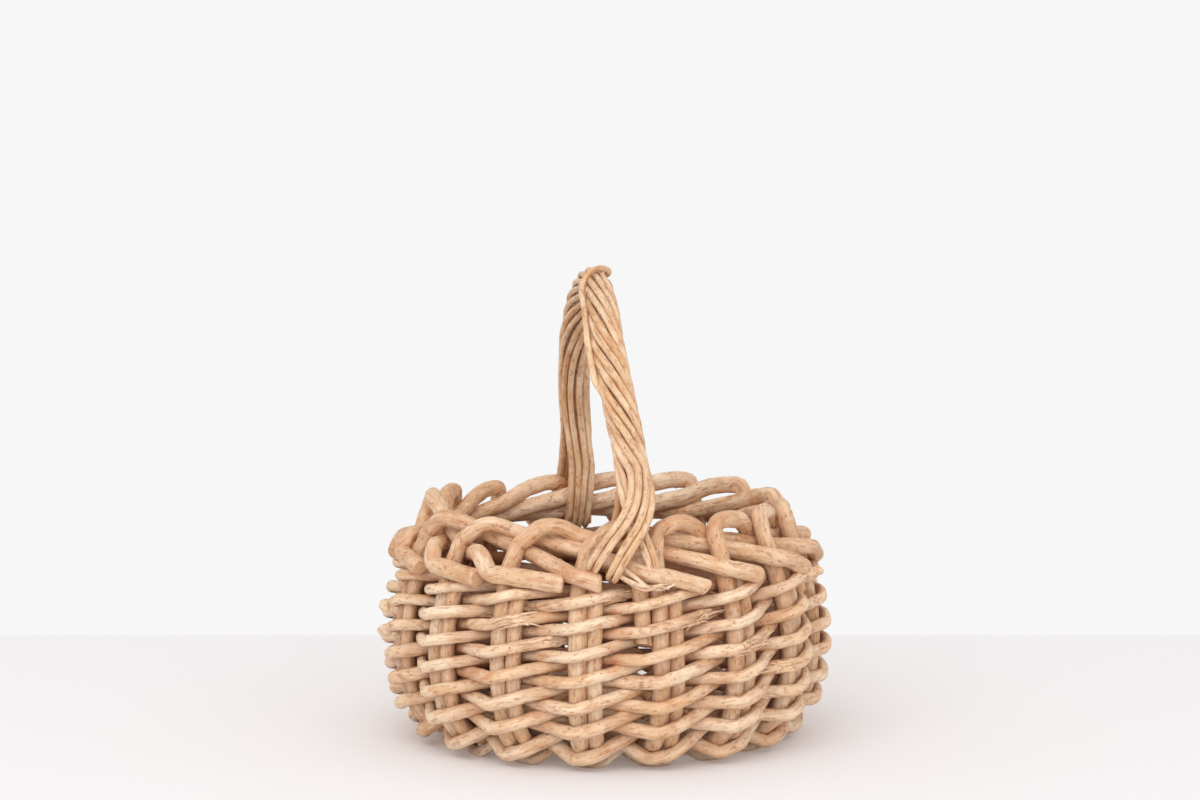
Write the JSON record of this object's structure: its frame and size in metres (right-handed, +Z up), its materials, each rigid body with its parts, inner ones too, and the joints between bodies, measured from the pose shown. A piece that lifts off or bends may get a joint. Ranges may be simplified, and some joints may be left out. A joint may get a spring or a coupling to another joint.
{
  "type": "wicker gathering basket",
  "caption": "Small round willow basket with a full belly, a woven wall on paired stakes, a rolled rod border and a fixed roped bow handle.",
  "frame": {"origin": "middle of the basket's outline on the surface that it stands on", "axes": "+Z up, the handle arches over the Y axis from -Y (front) to +Y (back), X to the right"},
  "size_m": [0.2749, 0.2753, 0.2892],
  "materials": {
    "willow_stake": "bare peeled willow, smooth",
    "willow_weaver": "bare peeled willow, smooth",
    "willow_handle": "bare peeled willow, smooth",
    "willow_base": "bare peeled willow, smooth"
  },
  "bodies": {
    "root": {"main_stake_01": "willow_stake", "main_stake_02": "willow_stake", "main_stake_03": "willow_stake", "main_stake_04": "willow_stake", "main_stake_05": "willow_stake", "main_stake_06": "willow_stake", "main_stake_07": "willow_stake", "main_stake_08": "willow_stake", "main_stake_09": "willow_stake", "main_stake_10": "willow_stake", "main_stake_11": "willow_stake", "main_stake_12": "willow_stake", "main_stake_13": "willow_stake", "main_stake_14": "willow_stake", "main_stake_15": "willow_stake", "main_stake_16": "willow_stake", "bye_stake_01": "willow_stake", "bye_stake_02": "willow_stake", "bye_stake_03": "willow_stake", "bye_stake_04": "willow_stake", "bye_stake_05": "willow_stake", "bye_stake_06": "willow_stake", "bye_stake_07": "willow_stake", "bye_stake_08": "willow_stake", "bye_stake_09": "willow_stake", "bye_stake_10": "willow_stake", "bye_stake_11": "willow_stake", "bye_stake_12": "willow_stake", "bye_stake_13": "willow_stake", "bye_stake_14": "willow_stake", "bye_stake_15": "willow_stake", "bye_stake_16": "willow_stake", "weaver_01": "willow_weaver", "weaver_02": "willow_weaver", "weaver_03": "willow_weaver", "weaver_04": "willow_weaver", "weaver_05": "willow_weaver", "weaver_06": "willow_weaver", "weaver_07": "willow_weaver", "weaver_08": "willow_weaver", "weaver_09": "willow_weaver", "weaver_10": "willow_weaver", "weaver_11": "willow_weaver", "weaver_12": "willow_weaver", "weaver_13": "willow_weaver", "weaver_14": "willow_weaver", "weaver_15": "willow_weaver", "weaver_16": "willow_weaver", "foot_wale_a": "willow_weaver", "foot_wale_b": "willow_weaver", "base_weaver_a": "willow_base", "base_weaver_b": "willow_base", "base_sticks": "willow_base", "handle_bow": "willow_stake", "handle_strands_1": "willow_handle", "handle_strands_2": "willow_handle", "handle_strands_3": "willow_handle", "handle_strands_4": "willow_handle", "handle_strands_5": "willow_handle"}
  },
  "joints": []
}
